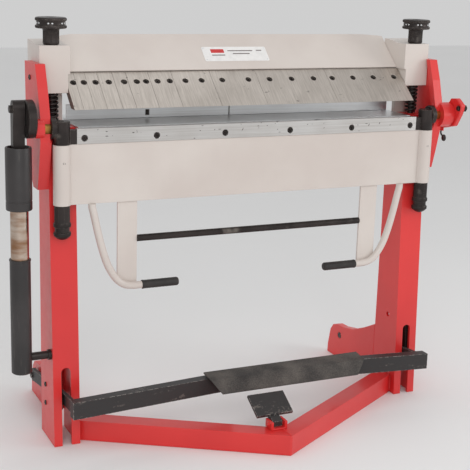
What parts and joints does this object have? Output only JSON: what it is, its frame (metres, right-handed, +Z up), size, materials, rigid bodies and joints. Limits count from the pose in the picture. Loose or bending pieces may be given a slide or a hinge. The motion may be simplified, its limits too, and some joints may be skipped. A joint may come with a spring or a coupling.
{
  "type": "sheet metal brake",
  "caption": "Foot-operated sheet metal folding brake: welded frame, segmented clamping beam, pivoting apron with lift assist, clamp pedal.",
  "frame": {"origin": "on the floor, under the middle of the bounding box", "axes": "+X to the operator's right along the bend line, +Y away from the operator, +Z up"},
  "size_m": [1.613, 0.834, 1.358],
  "materials": {
    "red_paint": "smooth gloss red machine paint with small runs and chips",
    "grey_paint": "light warm grey machine paint, satin",
    "finger_steel": "ground steel with faint grinding marks",
    "bar_steel": "ground steel with small dark scuffs along its front",
    "bed_steel": "ground bright steel",
    "plunger_steel": "polished steel, lightly oiled",
    "black_steel": "blackened steel, satin, worn bright on edges",
    "black_paint": "black paint, worn on the pedals",
    "bronze": "bearing bronze",
    "grip_rubber": "matt black rubber"
  },
  "bodies": {
    "frame": {"floor_frame": "red_paint", "post_left": "red_paint", "post_right": "red_paint", "rear_foot_left": "red_paint", "rear_foot_right": "red_paint", "cheek_left": "red_paint", "cheek_right": "red_paint", "hinge_bush_left": "bronze", "hinge_bush_right": "bronze", "bed_beam": "grey_paint", "bed_plate": "bed_steel", "balance_stud": "black_steel", "release_bracket": "red_paint", "lift_spring_left": "black_steel", "lift_spring_right": "black_steel"},
    "clamping_beam": {"finger_01": "finger_steel", "finger_02": "finger_steel", "finger_03": "finger_steel", "finger_04": "finger_steel", "finger_05": "finger_steel", "finger_06": "finger_steel", "finger_07": "finger_steel", "finger_08": "finger_steel", "finger_09": "finger_steel", "finger_10": "finger_steel", "finger_11": "finger_steel", "clamp_beam": "grey_paint", "hood": "grey_paint", "guide_block_left": "grey_paint", "guide_block_right": "grey_paint", "pull_rod_left": "black_steel", "pull_rod_right": "black_steel"},
    "spindle_left": {"spindle_left": "black_steel"},
    "spindle_right": {"spindle_right": "black_steel"},
    "pedal": {"pedal_lever_left": "black_paint", "pedal_lever_right": "black_paint", "pedal_tread": "black_paint"},
    "apron": {"apron_beam": "grey_paint", "bending_bar": "bar_steel", "hinge_block_left": "black_steel", "hinge_block_right": "black_steel", "handle_left": "grey_paint", "handle_right": "grey_paint", "grip_left": "grip_rubber", "grip_right": "grip_rubber", "handle_tie_rod": "black_steel", "balance_crank": "black_steel", "stop_arm": "red_paint", "stop_bolt": "black_steel"},
    "adjuster_left": {"adjuster_left": "black_steel"},
    "adjuster_right": {"adjuster_right": "black_steel"},
    "balance_tube": {"balance_tube": "black_paint"},
    "balance_plunger": {"balance_plunger": "plunger_steel", "balance_sleeve": "black_paint", "balance_link": "black_steel"},
    "release_pedal": {"release_pedal": "black_paint"},
    "back_gauge": {"back_gauge": "bed_steel"},
    "stop_ring": {"stop_ring": "red_paint"},
    "lock_lever": {"lock_lever": "black_steel"}
  },
  "joints": [
    {"name": "clamp_lift", "type": "slide", "parent": "frame", "child": "clamping_beam", "axis": [0, 0, 1], "range_m": [-0.049, 0], "stiffness_N_per_m": 9000, "springref_m": 0.2, "deforming": ["lift_spring_left", "lift_spring_right"]},
    {"name": "pedal_press", "type": "hinge", "parent": "frame", "child": "pedal", "pos_m": [0.0165, 0.3271, 0.095], "axis": [1, 0, 0], "range_deg": [0, 7.4]},
    {"name": "spindle_turn_left", "type": "hinge", "parent": "clamping_beam", "child": "spindle_left", "pos_m": [-0.6405, 0.0171, 1.275], "axis": [0, 0, 1], "continuous": true},
    {"name": "spindle_turn_right", "type": "hinge", "parent": "clamping_beam", "child": "spindle_right", "pos_m": [0.6735, 0.0171, 1.275], "axis": [0, 0, 1], "continuous": true},
    {"name": "apron_bend", "type": "hinge", "parent": "frame", "child": "apron", "pos_m": [0.0165, -0.0729, 1.034], "axis": [-1, 0, 0], "range_deg": [0, 135]},
    {"name": "adjuster_turn_left", "type": "hinge", "parent": "apron", "child": "adjuster_left", "pos_m": [-0.6385, -0.0829, 0.797], "axis": [0, 0, 1], "continuous": true},
    {"name": "adjuster_turn_right", "type": "hinge", "parent": "apron", "child": "adjuster_right", "pos_m": [0.6715, -0.0829, 0.797], "axis": [0, 0, 1], "continuous": true},
    {"name": "balance_swing", "type": "hinge", "parent": "frame", "child": "balance_tube", "pos_m": [-0.7665, -0.0489, 0.305], "axis": [-1, 0, 0], "range_deg": [0, 3.6]},
    {"name": "balance_slide", "type": "slide", "parent": "balance_tube", "child": "balance_plunger", "axis": [0, 0, 1], "range_m": [-0.1045, 0], "stiffness_N_per_m": 450, "springref_m": 0.26},
    {"name": "release_press", "type": "hinge", "parent": "frame", "child": "release_pedal", "pos_m": [0.0015, -0.3349, 0.083], "axis": [-1, 0, 0], "range_deg": [0, 10], "stiffness_Nm_per_rad": 5, "springref_deg": -17.19},
    {"name": "gauge_slide", "type": "slide", "parent": "frame", "child": "back_gauge", "axis": [0, 1, 0], "range_m": [0, 0.09]},
    {"name": "stop_turn", "type": "hinge", "parent": "frame", "child": "stop_ring", "pos_m": [0.769, -0.0729, 1.034], "axis": [1, 0, 0], "range_deg": [0, 56]},
    {"name": "lock_turn", "type": "hinge", "parent": "stop_ring", "child": "lock_lever", "pos_m": [0.7698, -0.0429, 0.972], "axis": [0, 0, 1], "range_deg": [-60, 60]}
  ],
  "couplings": [
    {"joint": "pedal_press", "follows": "clamp_lift", "rad_per_m": -2.6},
    {"joint": "balance_swing", "follows": "apron_bend", "ratio": 0.026},
    {"joint": "balance_slide", "follows": "apron_bend", "m_per_rad": -0.0441}
  ]
}
